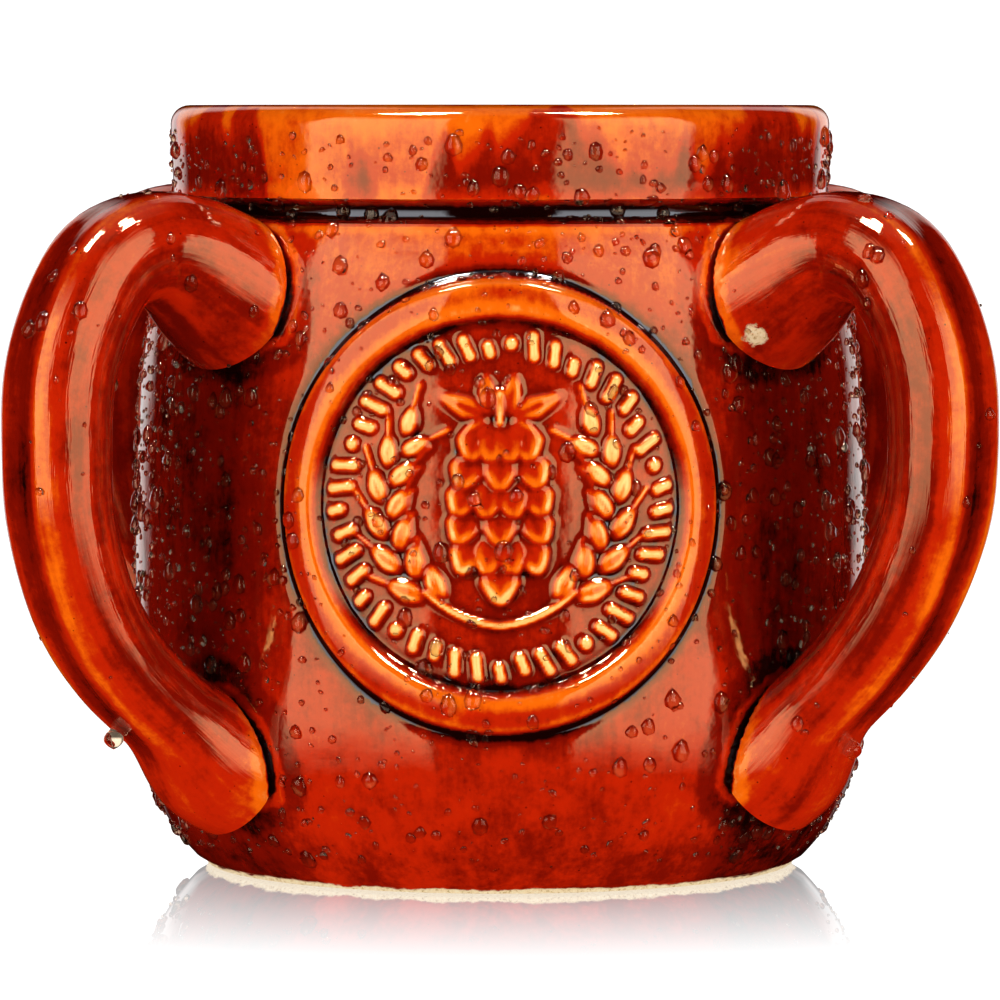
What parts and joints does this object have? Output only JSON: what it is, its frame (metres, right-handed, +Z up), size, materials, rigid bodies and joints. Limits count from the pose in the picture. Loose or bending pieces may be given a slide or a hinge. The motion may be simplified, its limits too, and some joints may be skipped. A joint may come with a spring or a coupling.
{
  "type": "four-handled stoneware beer mug",
  "caption": "Squat glazed stoneware mug with a banded rim, round pulled handles set round a bulging body and a round relief medallion of hops and barley on the front.",
  "frame": {"origin": "middle of the foot ring's flat underside, on the surface the mug stands on", "axes": "+Z up along the axis the body was turned on; -Y out through the middle of the medallion; +X to the right as seen by someone facing the medallion"},
  "size_m": [0.1608, 0.1424, 0.129],
  "materials": {
    "glaze": "glossy translucent red-amber glaze, golden where thin on ridges and near black where pooled"
  },
  "bodies": {
    "root": {"mug": "glaze"}
  },
  "joints": []
}
